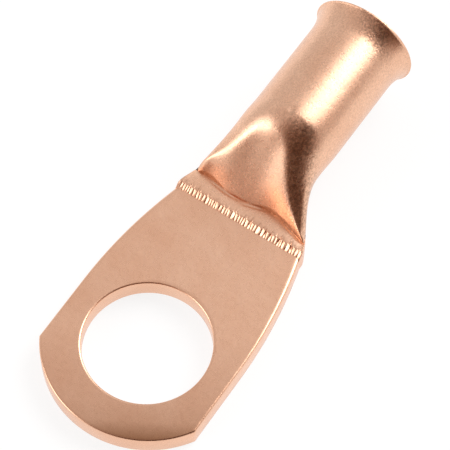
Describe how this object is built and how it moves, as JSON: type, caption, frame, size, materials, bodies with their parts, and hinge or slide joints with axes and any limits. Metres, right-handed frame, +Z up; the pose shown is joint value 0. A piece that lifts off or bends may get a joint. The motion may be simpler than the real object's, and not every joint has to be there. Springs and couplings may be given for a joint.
{
  "type": "cable lug",
  "caption": "Crimp lug formed from copper tube: round wire barrel with a belled mouth, flattened to a palm with a stud hole.",
  "frame": {"origin": "centre of the stud hole on the underside of the palm", "axes": "+X along the lug toward the open mouth of the barrel, +Z up, out of the palm's upper face, +Y across the palm"},
  "size_m": [0.0391, 0.0146, 0.0095],
  "materials": {
    "copper": "bare copper, satin, with a brushed palm"
  },
  "bodies": {
    "root": {"cable_lug": "copper"}
  },
  "joints": []
}
